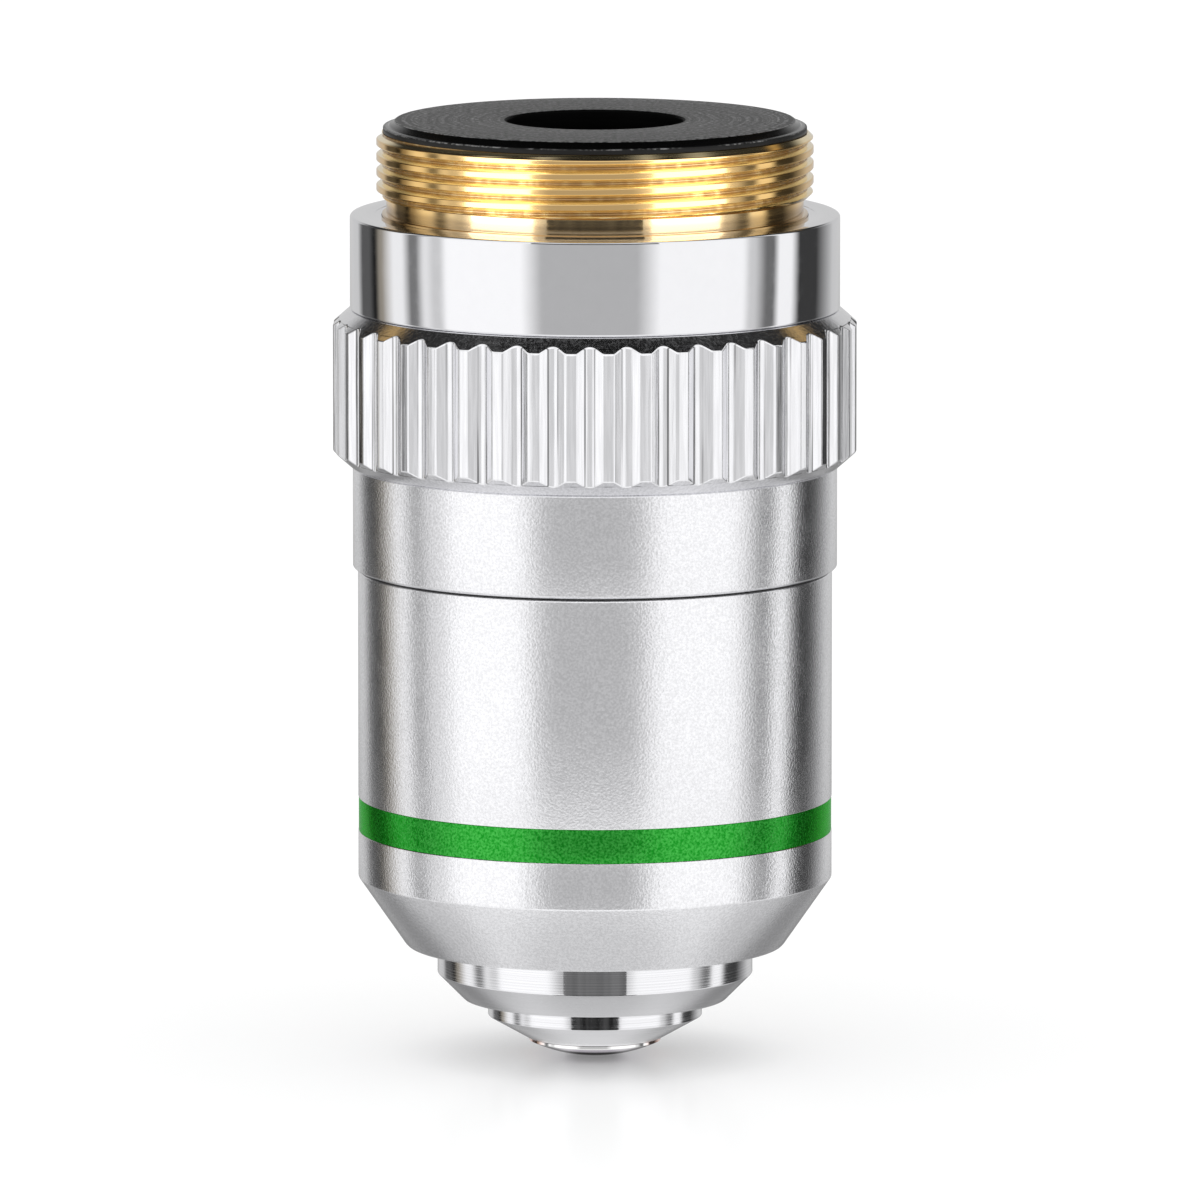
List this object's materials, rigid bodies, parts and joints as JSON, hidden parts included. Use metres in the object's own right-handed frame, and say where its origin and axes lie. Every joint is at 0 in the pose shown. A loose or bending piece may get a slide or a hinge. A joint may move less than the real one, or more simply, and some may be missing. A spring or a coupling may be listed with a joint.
{
  "type": "microscope objective",
  "caption": "Microscope objective with a threaded brass mount, chromed collar, fluted grip ring, satin barrel with a green colour band and a spring-loaded nose around a bulging front lens.",
  "frame": {"origin": "centre of the seat plane, where the collar's top face meets the microscope", "axes": "+Z along the optical axis towards the microscope, so that the front lens points down; -Y is the side that the picture shows"},
  "size_m": [0.0244, 0.0244, 0.0439],
  "materials": {
    "polished_brass": "polished after turning",
    "plain_brass": "fine turned",
    "blackened_brass": "chemically blackened",
    "matt_black": "matt black over fine turning marks",
    "mirror_chrome": "mirror chrome plate",
    "satin_chrome": "bead-blasted satin chrome plate",
    "turned_chrome": "fine turned bright chrome",
    "green_enamel": "gloss enamel",
    "spring_steel": "drawn wire",
    "coated_glass": "polished, anti-reflection coated",
    "clear_glass": "polished"
  },
  "bodies": {
    "housing": {"mount_body": "polished_brass", "rear_stop_ring": "matt_black", "mount_collar": "mirror_chrome", "grip_ring": "mirror_chrome", "barrel_ring": "satin_chrome", "barrel_sleeve": "satin_chrome", "colour_band": "green_enamel", "return_spring": "spring_steel", "guide_screw": "spring_steel"},
    "nose": {"lens_tube": "plain_brass", "nose_cell": "turned_chrome", "front_cell": "turned_chrome", "front_lens": "coated_glass", "middle_cell": "blackened_brass", "middle_flint_lens": "clear_glass", "middle_crown_lens": "clear_glass", "lens_spacer": "blackened_brass", "rear_cell": "blackened_brass", "rear_flint_lens": "clear_glass", "rear_crown_lens": "coated_glass", "lock_ring": "blackened_brass"}
  },
  "joints": [
    {"name": "nose_slide", "type": "slide", "parent": "housing", "child": "nose", "axis": [0, 0, 1], "range_m": [0, 0.0012], "stiffness_N_per_m": 400, "springref_m": -0.00375, "deforming": ["return_spring"]}
  ]
}
